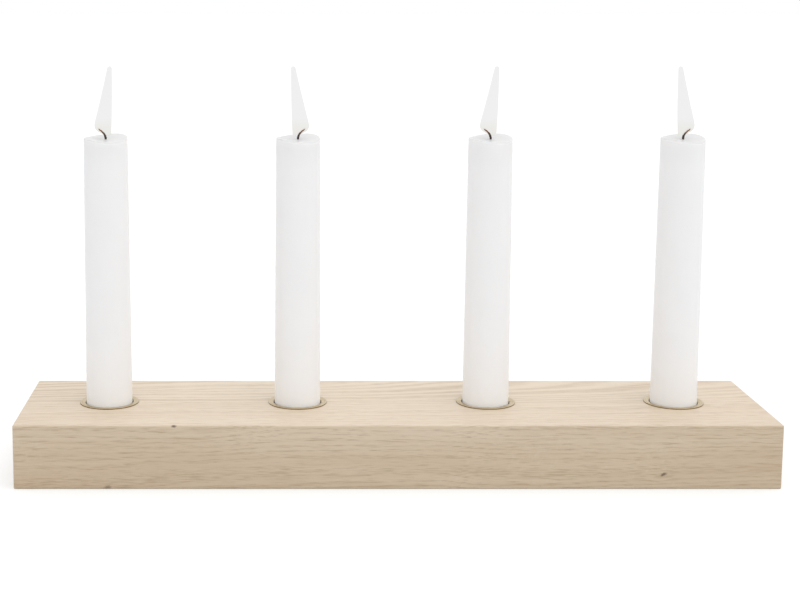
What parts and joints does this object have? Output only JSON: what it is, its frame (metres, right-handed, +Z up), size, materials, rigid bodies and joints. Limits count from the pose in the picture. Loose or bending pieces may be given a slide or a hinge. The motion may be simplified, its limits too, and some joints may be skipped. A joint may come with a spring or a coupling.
{
  "type": "advent candle holder",
  "caption": "Solid oak advent candle beam with flanged brass cups in a row in its top, each holding a lit white dinner candle that lifts out",
  "frame": {"origin": "the middle of the beam's underside, on the surface that the holder stands on", "axes": "+X along the beam, from the first candle to the last; +Y to the back of the beam; +Z up along the candles. The front face looks along -Y"},
  "size_m": [0.35, 0.08, 0.1903],
  "materials": {
    "oak": "planed pale oak, left matt, with fine pores along the grain",
    "cup_brass": "drawn brass sheet with a satin face",
    "white_wax": "smooth white paraffin wax with a soft sheen, a little translucent",
    "burnt_cotton": "braided cotton wick, charred brown at its free end",
    "flame": "pale, evenly bright candle flame, clearer towards its foot"
  },
  "bodies": {
    "holder": {"oak_beam": "oak", "candle_cup_1": "cup_brass", "candle_cup_2": "cup_brass", "candle_cup_3": "cup_brass", "candle_cup_4": "cup_brass"},
    "lit_candle_1": {"candle_1": "white_wax", "wick_1": "burnt_cotton", "flame_1": "flame"},
    "lit_candle_2": {"candle_2": "white_wax", "wick_2": "burnt_cotton", "flame_2": "flame"},
    "lit_candle_3": {"candle_3": "white_wax", "wick_3": "burnt_cotton", "flame_3": "flame"},
    "lit_candle_4": {"candle_4": "white_wax", "wick_4": "burnt_cotton", "flame_4": "flame"}
  },
  "joints": [
    {"name": "candle_1_lift", "type": "slide", "parent": "holder", "child": "lit_candle_1", "axis": [0, 0, 1], "range_m": [0, 0.03]},
    {"name": "candle_2_lift", "type": "slide", "parent": "holder", "child": "lit_candle_2", "axis": [0, 0, 1], "range_m": [0, 0.03]},
    {"name": "candle_3_lift", "type": "slide", "parent": "holder", "child": "lit_candle_3", "axis": [0, 0, 1], "range_m": [0, 0.03]},
    {"name": "candle_4_lift", "type": "slide", "parent": "holder", "child": "lit_candle_4", "axis": [0, 0, 1], "range_m": [0, 0.03]}
  ]
}
